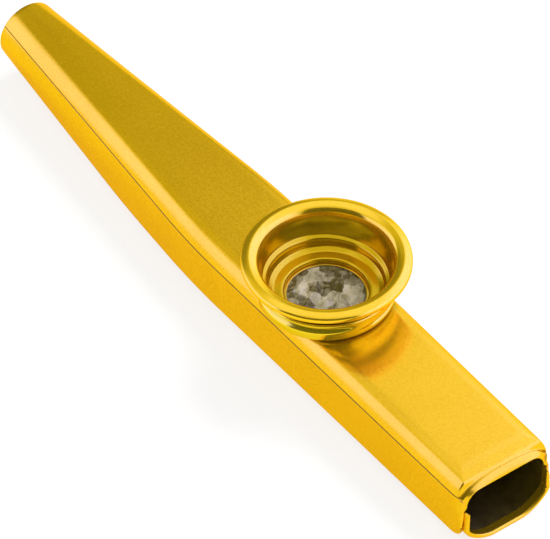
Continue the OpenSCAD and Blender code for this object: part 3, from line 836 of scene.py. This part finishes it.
def slip_ring_loops(turret):
    """The slip ring: a flat ring with round edges."""
    s = turret.s
    low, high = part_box("slip_ring")
    thickness = high.z - low.z
    mid_z = (low.z + high.z) / 2
    outer = s.well_r - s.ring_play - thickness / 2
    line = [(mix(s.ring_r + thickness / 2, outer, t), mid_z)
            for t in np.linspace(0, 1, turret.ring_steps)]
    return walled(turret.spread(line), thickness)


# The power by which the folds' spacing falls, the height that bends the next fold by a share of its
# spacing, that share, the most that the film rises or falls, and the points along a side of its grid.
FOLD_FALL = 0.6
BEND_HEIGHT, BEND_SHARE = 0.12 * MM, 0.35
FILM_REACH = 0.3 * MM
FILM_POINTS = 141


def film_grids(turret, s):
    """The film: a square grid pressed onto a disc, raised by crossing triangle waves.

    Each fold is a triangle wave of the distance along its own direction, bent a little by the sum of
    those before it. The waves die out where the rings hold the film.
    """
    low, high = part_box("membrane")
    radius = (high.x - low.x) / 2
    side = np.linspace(-1, 1, FILM_POINTS)
    u, v = np.meshgrid(side, side, indexing="ij")
    x = radius * u * np.sqrt(1 - v * v / 2)
    y = radius * v * np.sqrt(1 - u * u / 2)
    rng = np.random.default_rng(s.seed)
    height = np.zeros_like(x)
    for i in range(s.fold_count):
        spacing = mix(s.fold_long, s.fold_short, (i / max(1, s.fold_count - 1)) ** FOLD_FALL)
        turn, start = rng.uniform(0, 2 * math.pi, 2)
        along = (x * math.cos(turn) + y * math.sin(turn)) / spacing
        run = along + start + height / BEND_HEIGHT * BEND_SHARE
        wave = np.abs(2 * (run - np.floor(run + 0.5)))
        height += (wave - 0.5) * s.fold_slope * spacing / 2
    held = smooth((turret.s.ring_r - np.hypot(x, y)) / s.clamp_w)
    height = np.clip(height, -FILM_REACH, FILM_REACH) * held
    mid = (low.z + high.z) / 2 + height
    half_t = (high.z - low.z) / 2
    border = np.maximum(np.abs(u), np.abs(v)) > 1 - NEARLY_ZERO
    half = np.where(border, 0, half_t)
    places = np.stack([TURRET_AXIS.x + x, TURRET_AXIS.y + y], axis=-1)
    return (np.concatenate([places, (mid + half)[..., None]], axis=-1),
            np.concatenate([places, (mid - half)[..., None]], axis=-1))


# Finishes

class Nodes:
    """Short calls for a node tree, in which a colour is three numbers or a socket."""

    def __init__(self, owner):
        owner.use_nodes = True
        self.tree = owner.node_tree

    def fill(self, node, inputs):
        """The node with its inputs set. Each is a value or the socket that feeds it."""
        for key, value in inputs.items():
            if isinstance(value, bpy.types.NodeSocket):
                self.tree.links.new(value, node.inputs[key])
            else:
                node.inputs[key].default_value = value
        return node

    def node(self, kind, inputs=None, **settings):
        """A new node with its settings and inputs."""
        node = self.tree.nodes.new("ShaderNode" + kind)
        for key, value in settings.items():
            setattr(node, key, value)
        return self.fill(node, inputs or {})

    def combined(self, operation, first, second):
        """The result of an operation on two values."""
        return self.node("Math", {0: first, 1: second}, operation=operation).outputs["Value"]

    def mapped(self, value, start, end, low, high):
        """The value mapped from the range between start and end to the one between low and high."""
        return self.node("MapRange", {"Value": value, "From Min": start, "From Max": end,
                                      "To Min": low, "To Max": high}).outputs["Result"]

    def blend(self, part, first, second, how="MIX"):
        """A colour between two, by a share."""
        first, second = (c if isinstance(c, bpy.types.NodeSocket) else (*c, 1) for c in (first, second))
        return self.node("Mix", {"Factor": part, "A": first, "B": second},
                         data_type="RGBA", blend_type=how).outputs["Result"]

    def seen(self):
        """One for camera, glossy and transmission rays, and nothing for all other rays."""
        path = self.node("LightPath")
        total = path.outputs["Is Camera Ray"]
        for key in ("Is Glossy Ray", "Is Transmission Ray"):
            total = self.combined("MAXIMUM", total, path.outputs[key])
        return total


class Finish(Nodes):
    """A material whose patterns read object coordinates in metres."""
    noise_span = (0.3, 0.7)

    def __init__(self, name):
        self.material = bpy.data.materials.new(name)
        super().__init__(self.material)
        self.shader = self.tree.nodes["Principled BSDF"]
        self.place = self.node("TexCoord").outputs["Object"]

    def stretched(self, scale):
        """Object coordinates, scaled along each axis."""
        return self.node("Mapping", {"Vector": self.place, "Scale": scale}).outputs["Vector"]

    def noise(self, scale, detail=2.0, roughness=0.5, place=None):
        """Noise between 0 and 1; scale is in cycles for each metre."""
        return self.node("TexNoise", {"Vector": place or self.place, "Scale": scale, "Detail": detail,
                                      "Roughness": roughness}).outputs["Fac"]

    def warped(self, scale, reach):
        """Object coordinates, pushed about by noise by up to half the reach."""
        noise = self.node("TexNoise", {"Vector": self.place, "Scale": scale}).outputs["Color"]
        return self.node("VectorMath", {0: noise, 1: (reach, reach, reach), 2: self.place},
                         operation="MULTIPLY_ADD").outputs["Vector"]

    def cells(self, scale, place):
        """A value between 0 and 1 for each cell of a cell pattern."""
        cell = self.node("TexVoronoi", {"Vector": place, "Scale": scale}).outputs["Color"]
        return self.node("SeparateColor", {"Color": cell}).outputs["Red"]

    def between(self, value, low, high):
        """Noise, mapped from the span that it fills to the range from low to high."""
        return self.mapped(value, *self.noise_span, low, high)

    def add(self, first, second):
        """The sum of two values."""
        return self.combined("ADD", first, second)

    def shaded(self, base, tint, near, far, low, high):
        """A colour times a tint, round the turret's axis from near to far and upwards from low to high:
        painted shade.
        """
        centre = (-TURRET_AXIS.x, -TURRET_AXIS.y, 0)
        flat = self.node("VectorMath", {0: self.place, 1: (1, 1, 0), 2: centre}, operation="MULTIPLY_ADD")
        away = self.node("VectorMath", {0: flat.outputs["Vector"]}, operation="LENGTH").outputs["Value"]
        height = self.node("SeparateXYZ", {"Vector": self.place}).outputs["Z"]
        near_axis = self.mapped(away, near, far, 1, 0)
        high_up = self.mapped(height, high, low, 1, 0)
        part = self.combined("MULTIPLY", near_axis, high_up)
        return self.blend(part, base, tint, how="MULTIPLY")

    def bump(self, height, distance, under=None):
        """A bump of the given height in metres, over another one if there is one."""
        inputs = {"Height": height, "Distance": distance, "Strength": 1.0}
        if under is not None:
            inputs["Normal"] = under
        return self.node("Bump", inputs).outputs["Normal"]

    def finished(self, inputs):
        """The material with its shader's inputs set."""
        self.fill(self.shader, inputs)
        return self.material


# Spread of the golds' roughness, the depth of their strokes as a share of the specks' depth, and the
# dark tones of grime and fibres as shares of their own colour.
ROUGHNESS_SPREAD = 0.12
STROKE_SHARE = 0.7
GRIME_SHARE = 0.6
FIBRE_SHARE = 0.7


def gold_finish(f, name, base, deep, roughness, speck, stroke_scale, shade):
    """Anodised gold: specks of two golds, faint strokes, bumps of both, and painted shade round the
    turret's axis.

    shade has the tint, the two distances and the two heights of the painted shade round the turret's axis.
    """
    n = Finish(name)
    specks = n.noise(2600, detail=2, roughness=0.5)
    clouds = n.noise(90, detail=2)
    strokes = n.noise(1.0, detail=3, roughness=0.6, place=n.stretched(stroke_scale))
    gold = n.blend(n.between(n.add(specks, n.between(clouds, -0.12, 0.12)), 0, 1), deep, base)
    spread = roughness * ROUGHNESS_SPREAD
    return n.finished({
        "Base Color": n.shaded(gold, *shade),
        "Roughness": n.between(specks, roughness - spread, roughness + spread),
        "Normal": n.bump(strokes, speck * STROKE_SHARE, under=n.bump(specks, speck)),
        "Metallic": f.metal,
        "Specular Tint": (*f.gold_glance, 1)})


def dull_and_shaded_finish(name, base):
    """Dull metal, darkened as painted shade, with grime."""
    n = Finish(name)
    grime = n.noise(700, detail=4, roughness=0.6)
    return n.finished({
        "Base Color": n.blend(n.between(grime, 0, 1), [c * GRIME_SHARE for c in base], base),
        "Roughness": n.between(grime, 0.5, 0.7),
        "Normal": n.bump(grime, 0.02 * MM),
        "Metallic": 0.8})


def card_finish(f):
    """Pressed grey-brown card with fibres."""
    n = Finish("card_fibre")
    fibre = n.noise(1.0, detail=4, roughness=0.7, place=n.stretched((2500, 900, 900)))
    return n.finished({
        "Base Color": n.blend(n.between(fibre, 0, 1), [c * FIBRE_SHARE for c in f.card], f.card),
        "Normal": n.bump(fibre, 0.03 * MM),
        "Roughness": 0.85})


def film_finish(f):
    """Thin crinkled film with painted light and shade: random pale patches for facets that catch the light,
    dark ones for the shaded hollow seen through the film.
    """
    n = Finish("crinkled_film")
    bent = n.warped(900, 0.8 * MM)
    facets = n.cells(430, bent)
    shards = n.cells(1100, bent)
    haze = n.noise(420, detail=4, roughness=0.65)
    fine = n.noise(2600, detail=3, roughness=0.6)
    tone = n.add(n.add(n.between(facets, -0.02, 0.34), n.between(haze, -0.1, 0.3)),
                 n.add(n.between(shards, -0.06, 0.14), n.between(fine, -0.05, 0.05)))
    return n.finished({
        # The tone mixes the painted light and the painted shade of the film.
        "Base Color": n.blend(tone, f.film_painted_shade, f.film_painted_light),
        "Roughness": n.between(shards, 0.1, 0.26),
        "Normal": n.bump(fine, 0.004 * MM, under=n.bump(shards, 0.03 * MM)),
        "IOR": 1.5,
        "Specular Tint": (*f.film_glance, 1)})


def finishes(scene):
    """Every finish, made once."""
    f = scene.kazoo_finish
    if "satin_gold" not in bpy.data.materials:
        # Painted shade round the turret's foot on the body, and down in the bell and over the turret's
        # parts near its axis.
        foot = (f.painted_shade, f.foot_near, f.foot_far, f.foot_low, f.foot_high)
        well = (f.well_painted_shade, f.well_near, f.well_far, 0, f.foot_low)
        satin_strokes, spun_strokes, ring_strokes = (300, 2400, 300), (200, 200, 5200), (900, 900, 900)
        for name, base, deep, roughness, speck, strokes, shade in (
                ("satin_gold", f.gold, f.gold_deep, f.satin, 0.005 * MM, satin_strokes, foot),
                ("spun_gold", f.turret_gold, f.gold, f.spun, 0.0015 * MM, spun_strokes, well),
                ("outer_gold", f.outer_gold, f.outer_deep, f.spun, 0.0015 * MM, spun_strokes, well),
                ("ring_gold", f.gold_ring, f.gold, f.spun, 0.002 * MM, ring_strokes, well)):
            gold_finish(f, name, base, deep, roughness, speck, strokes, shade)
        # Both of these finishes darken dull metal as painted shade: inside the body and in the scored
        # crease.
        dull_and_shaded_finish("dull_and_shaded_inside", f.inside)
        dull_and_shaded_finish("crease_painted_shade", f.line)
        card_finish(f)
        film_finish(f)
    return bpy.data.materials


def place_piece(piece, body, node):
    """The piece rides on its body and stands for its node, which is hidden."""
    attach(piece, body)
    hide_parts(node)


# Operators

class KAZOO_OT_upper_shell(Operator):
    """Builds the upper shell with its skirts, nose, lip and the hole for the collar"""
    bl_idname = "kazoo.upper_shell"
    bl_label = "Upper shell"
    hole_steps = 96

    def execute(self, context):
        scene = context.scene
        body = Body(scene.kazoo_shells, scene.kazoo_front)
        looks = finishes(scene)
        outside, inside = upper_shell_grids(body)
        crease = np.flatnonzero(crease_depth(body, body.upper_columns()))
        # The strips beside the scored crease take a finish that paints shade into the crease.
        piece = sheet_object("upper_shell_sheet", outside, inside,
                             [looks["satin_gold"], looks["crease_painted_shade"], looks["dull_and_shaded_inside"]],
                             lines=[*(crease - 1), *crease], front=body.lip_rows)
        self.cut_hole(piece, scene.kazoo_turret, body)
        place_piece(piece, "body", "upper_shell")
        return {"FINISHED"}

    def cut_hole(self, piece, s, body):
        """Cuts the collar's round hole with a drum that goes through the top alone."""
        radius = s.well_r + s.spun_t + s.hole_play
        turns = np.linspace(0, 2 * math.pi, self.hole_steps, endpoint=False)
        ring = np.stack([TURRET_AXIS.x + radius * np.cos(turns), radius * np.sin(turns)], axis=-1)
        heights = (body.crease_z, body.top_z + body.s.shoulder_h)
        points = np.concatenate([np.column_stack([ring, np.full(len(ring), z)]) for z in heights])
        count = len(ring)
        ahead = np.roll(np.arange(count), -1)
        faces = [tuple(range(count))[::-1], tuple(range(count, 2 * count))]
        faces += [(i, int(j), int(j) + count, i + count) for i, j in enumerate(ahead)]
        mesh = bpy.data.meshes.new("hole_cutter")
        mesh.from_pydata(points.tolist(), [], faces)
        cutter = linked("hole_cutter", mesh)
        cut = piece.modifiers.new("hole", "BOOLEAN")
        cut.operation, cut.solver, cut.object = "DIFFERENCE", "EXACT", cutter
        graph = bpy.context.evaluated_depsgraph_get()
        whole = bpy.data.meshes.new_from_object(piece.evaluated_get(graph))
        if len(whole.polygons) < len(piece.data.polygons) // 2:
            raise ValueError("the hole's cut has lost the shell")
        piece.modifiers.clear()
        old = piece.data
        piece.data = whole
        bpy.data.meshes.remove(old)
        bpy.data.objects.remove(cutter)
        bpy.data.meshes.remove(mesh)


class KAZOO_OT_lower_shell(Operator):
    """Builds the lower shell with its flanges, belly and hem"""
    bl_idname = "kazoo.lower_shell"
    bl_label = "Lower shell"

    def execute(self, context):
        scene = context.scene
        body = Body(scene.kazoo_shells, scene.kazoo_front)
        looks = finishes(scene)
        piece = sheet_object("lower_shell_sheet", *lower_shell_grids(body),
                             [looks["satin_gold"], looks["dull_and_shaded_inside"]], front=body.lip_rows)
        place_piece(piece, "body", "lower_shell")
        return {"FINISHED"}


class KAZOO_OT_collar(Operator):
    """Builds the threaded collar that is pressed into the body"""
    bl_idname = "kazoo.collar"
    bl_label = "Threaded collar"

    def execute(self, context):
        turret = Turret(context.scene.kazoo_turret)
        piece = wall_object("collar_wall", collar_loops(turret), [finishes(context.scene)["outer_gold"]])
        place_piece(piece, "body", "threaded_collar")
        return {"FINISHED"}


class KAZOO_OT_bell(Operator):
    """Builds the bell cap with its rolled thread and rim"""
    bl_idname = "kazoo.bell"
    bl_label = "Bell cap"

    def execute(self, context):
        turret = Turret(context.scene.kazoo_turret)
        looks = finishes(context.scene)
        piece = wall_object("bell_wall", bell_loops(turret), [looks["spun_gold"], looks["outer_gold"]])
        place_piece(piece, "cap", "bell_cap")
        return {"FINISHED"}


class KAZOO_OT_rings(Operator):
    """Builds the slip ring and gives the card washer its finish"""
    bl_idname = "kazoo.rings"
    bl_label = "Slip ring and washer"

    def execute(self, context):
        turret = Turret(context.scene.kazoo_turret)
        looks = finishes(context.scene)
        piece = wall_object("slip_ring_band", slip_ring_loops(turret), [looks["ring_gold"]])
        place_piece(piece, "slip_ring", "slip_ring")
        washer = frame["nodes"]["card_washer"]
        washer.data.materials.clear()
        washer.data.materials.append(looks["card_fibre"])
        return {"FINISHED"}


class KAZOO_OT_film(Operator):
    """Builds the crinkled film that buzzes"""
    bl_idname = "kazoo.film"
    bl_label = "Film"

    def execute(self, context):
        turret = Turret(context.scene.kazoo_turret)
        outside, inside = film_grids(turret, context.scene.kazoo_film)
        piece = sheet_object("crinkled_film", outside, inside, [finishes(context.scene)["crinkled_film"]])
        place_piece(piece, "body", "membrane")
        return {"FINISHED"}


# Lamps: name, place, side and power. Reflections don't show them.
STUDIO_LAMPS = (
    ("key_lamp", (0.05, 0.4, 0.55), 0.4, 5.0),
    ("fill_lamp", (0.3, -0.4, 0.5), 0.5, 2.5),
)

# Panels of the light tent: azimuth and elevation of the middle, half the width, half the height and
# softness of the edge in degrees, turn of the middle for each degree of height, and colour. A panel
# whose half width is ALL_ROUND has no edge at its sides.
ALL_ROUND = 400
TENT_PANELS = {
    "cloth": (0, 0, ALL_ROUND, ALL_ROUND, 1, 0, (0.85, 0.8, 0.5)),
    "box_right": (72, 27, 66, 44, 7, 0.57, (1.02, 0.98, 1.5)),
    "core_right": (62, 24, 54, 34, 18, 0.3, (1.25, 1.22, 9.0)),
    "flag_back": (158, 33, 26, 21, 7, 0.57, (0.42, 0.39, 0.03)),
    "flag_high": (178, 60, 24, 9, 8, 0, (0.6, 0.56, 0.05)),
    "flag_mouth": (170, 25, 20, 16, 12, 0.4, (0.16, 0.15, 0.01)),
    "flag_low": (172, 6, 22, 13, 9, 0, (0.2, 0.18, 0.01)),
    "box_left": (242, 10, 42, 32, 12, 0, (1.25, 1.2, 8.0)),
    "flag_camera": (314, 20, 46, 41, 7, 0, (0.07, 0.065, 0.01)),
    "roof": (0, 90, ALL_ROUND, 27, 7, 0, (1.05, 1.0, 2.2)),
    "flag_roof": (323, 72, 60, 10, 10, 0, (0.8, 0.76, 0.8)),
}


# The table: half its side in metres, and its colour.
FLOOR_HALF = 3.0
FLOOR_WHITE = (0.93, 0.93, 0.93, 1)


class Glow(Nodes):
    """A material with only an output and an emission shader, which isn't sampled as a lamp."""

    def __init__(self, name):
        self.material = bpy.data.materials.new(name)
        super().__init__(self.material)
        self.tree.nodes.clear()
        self.glow = self.node("Emission")
        self.out = self.node("OutputMaterial", {"Surface": self.glow.outputs["Emission"]})
        self.material.cycles.emission_sampling = "NONE"


class KAZOO_OT_studio(Operator):
    """Builds the floor, the lamps, the light tent and the camera"""
    bl_idname = "kazoo.studio"
    bl_label = "Studio"
    tent_columns, tent_rows = 144, 45

    def execute(self, context):
        scene = context.scene
        scene.view_settings.view_transform = "Standard"
        self.world(scene)
        self.floor(scene)
        self.lamps()
        self.tent(scene)
        self.camera(scene, scene.kazoo_studio)
        return {"FINISHED"}

    def world(self, scene):
        """White for the camera and for reflections, and a softer white for everything else."""
        world = bpy.data.worlds.new("white_room")
        scene.world = world
        n = Nodes(world)
        world.cycles.sampling_method = "NONE"
        n.fill(n.tree.nodes["Background"], {
            "Color": (1, 1, 1, 1),
            "Strength": n.mapped(n.seen(), 0, 1, scene.kazoo_studio.room_level, 1)})

    def floor(self, scene):
        """A wide white table that keeps the kazoo's soft shadow."""
        half = FLOOR_HALF
        mesh = bpy.data.meshes.new("floor")
        mesh.from_pydata([(-half, -half, 0), (half, -half, 0), (half, half, 0), (-half, half, 0)], [],
                         [(0, 1, 2, 3)])
        obj = linked("floor", mesh)
        n = Glow("white_table")
        part = n.combined("MULTIPLY", n.seen(), scene.kazoo_studio.floor_glow)
        matt = n.node("BsdfDiffuse", {"Color": FLOOR_WHITE}).outputs["BSDF"]
        both = n.node("MixShader", {"Fac": part, 1: matt, 2: n.glow.outputs["Emission"]})
        n.fill(n.out, {"Surface": both.outputs["Shader"]})
        glossy = n.node("LightPath").outputs["Is Glossy Ray"]
        n.fill(n.glow, {"Color": n.blend(glossy, (1, 1, 1), scene.kazoo_studio.floor_reflected)})
        mesh.materials.append(n.material)

    def lamps(self):
        """A large soft key lamp from behind on the right, and a fill from the left."""
        for name, place, size, power in STUDIO_LAMPS:
            lamp = bpy.data.lights.new(name, "AREA")
            lamp.size, lamp.energy = size, power
            obj = linked(name, lamp)
            obj.location = place
            obj.rotation_euler = (-Vector(place)).to_track_quat("-Z", "Y").to_euler()
            obj.visible_glossy = False

    def tent(self, scene):
        """A light tent that only reflections see: half a ball whose panels glow evenly.

        A panel's weight is the product of two smooth steps, one across its azimuth and one across
        its elevation, and each panel is mixed over the ones before it.
        """
        radius = scene.kazoo_studio.tent_r
        across = np.radians(np.linspace(0, 360, self.tent_columns, endpoint=False))[None, :]
        up = np.radians(np.linspace(0, 90, self.tent_rows + 1))[:, None]
        points = radius * np.stack([np.cos(up) * np.cos(across), np.cos(up) * np.sin(across),
                                    np.sin(up) * np.ones_like(across)], axis=-1)
        turn, height = np.degrees(across), np.degrees(up)
        glow = np.zeros(points.shape)
        for azimuth, elevation, half_w, half_h, soft, slant, tint in TENT_PANELS.values():
            d = np.abs((turn - azimuth - slant * (height - elevation) + 180) % 360 - 180)
            part = smooth((half_w - d) / soft + 0.5)
            part = part * smooth((half_h - np.abs(height - elevation)) / soft + 0.5)
            glow = mix(glow, np.array(tint), part[..., None])
        ids = np.arange(turn.size * height.size).reshape(height.size, turn.size)
        ids = np.concatenate([ids, ids[:, :1]], axis=1)
        mesh = bpy.data.meshes.new("light_tent")
        mesh.from_pydata(points.reshape(-1, 3).tolist(), [], quads(ids[:-1])[:, ::-1].tolist())
        paint = mesh.color_attributes.new("glow", "FLOAT_COLOR", "POINT")
        full = np.ones(glow.shape[:2] + (1,))
        paint.data.foreach_set("color", np.concatenate([glow, full], axis=-1).ravel())
        n = Glow("light_tent")
        n.fill(n.glow, {"Color": n.node("VertexColor", layer_name="glow").outputs["Color"]})
        mesh.materials.append(n.material)
        obj = linked("light_tent", mesh)
        for ray in ("camera", "diffuse", "transmission", "volume_scatter", "shadow"):
            setattr(obj, f"visible_{ray}", False)

    def camera(self, scene, s):
        """The camera at its azimuth and elevation, rolled about its own axis."""
        back = Vector((math.sin(s.azimuth) * math.cos(s.elevation),
                       -math.cos(s.azimuth) * math.cos(s.elevation), math.sin(s.elevation)))
        data = bpy.data.cameras.new("camera")
        data.lens, data.sensor_width = s.lens, 36
        data.shift_x, data.shift_y = s.shift
        data.clip_start, data.clip_end = 0.1, 10
        obj = linked("camera", data)
        turn = (-back).to_track_quat("-Z", "Y").to_matrix() @ Matrix.Rotation(s.roll, 3, "Z")
        obj.matrix_world = Matrix.Translation(Vector(s.aim) + back * s.distance) @ turn.to_4x4()
        scene.camera = obj


class KAZOO_PT_panel(Panel):
    """Lists the kazoo's sizes, finishes and steps"""
    bl_label = "Metal kazoo"
    bl_idname = "KAZOO_PT_panel"
    bl_space_type = "VIEW_3D"
    bl_region_type = "UI"
    bl_category = "Kazoo"

    def draw(self, context):
        for operator in OPERATORS:
            self.layout.operator(operator.bl_idname)
        for key, group in GROUPS.items():
            box = self.layout.box()
            box.label(text=group.__doc__)
            for name in group.__annotations__:
                box.prop(getattr(context.scene, key), name)


GROUPS = {
    "kazoo_shells": KazooShellSizes,
    "kazoo_front": KazooFrontSizes,
    "kazoo_turret": KazooTurretSizes,
    "kazoo_film": KazooFilmSizes,
    "kazoo_finish": KazooFinish,
    "kazoo_studio": KazooStudio,
}
OPERATORS = (KAZOO_OT_upper_shell, KAZOO_OT_lower_shell, KAZOO_OT_collar, KAZOO_OT_bell,
             KAZOO_OT_rings, KAZOO_OT_film, KAZOO_OT_studio)


def register():
    """Registers the classes and puts the property groups on the scene."""
    for cls in (*GROUPS.values(), *OPERATORS, KAZOO_PT_panel):
        bpy.utils.register_class(cls)
    for key, group in GROUPS.items():
        setattr(bpy.types.Scene, key, PointerProperty(type=group))


def unregister():
    """Takes the property groups off the scene and unregisters the classes."""
    for key in GROUPS:
        delattr(bpy.types.Scene, key)
    for cls in reversed((*GROUPS.values(), *OPERATORS, KAZOO_PT_panel)):
        bpy.utils.unregister_class(cls)


def main():
    """Registers the classes, then builds every piece and the studio."""
    register()
    for operator in OPERATORS:
        group, name = operator.bl_idname.split(".")
        getattr(getattr(bpy.ops, group), name)()


if __name__ == "__main__":
    main()
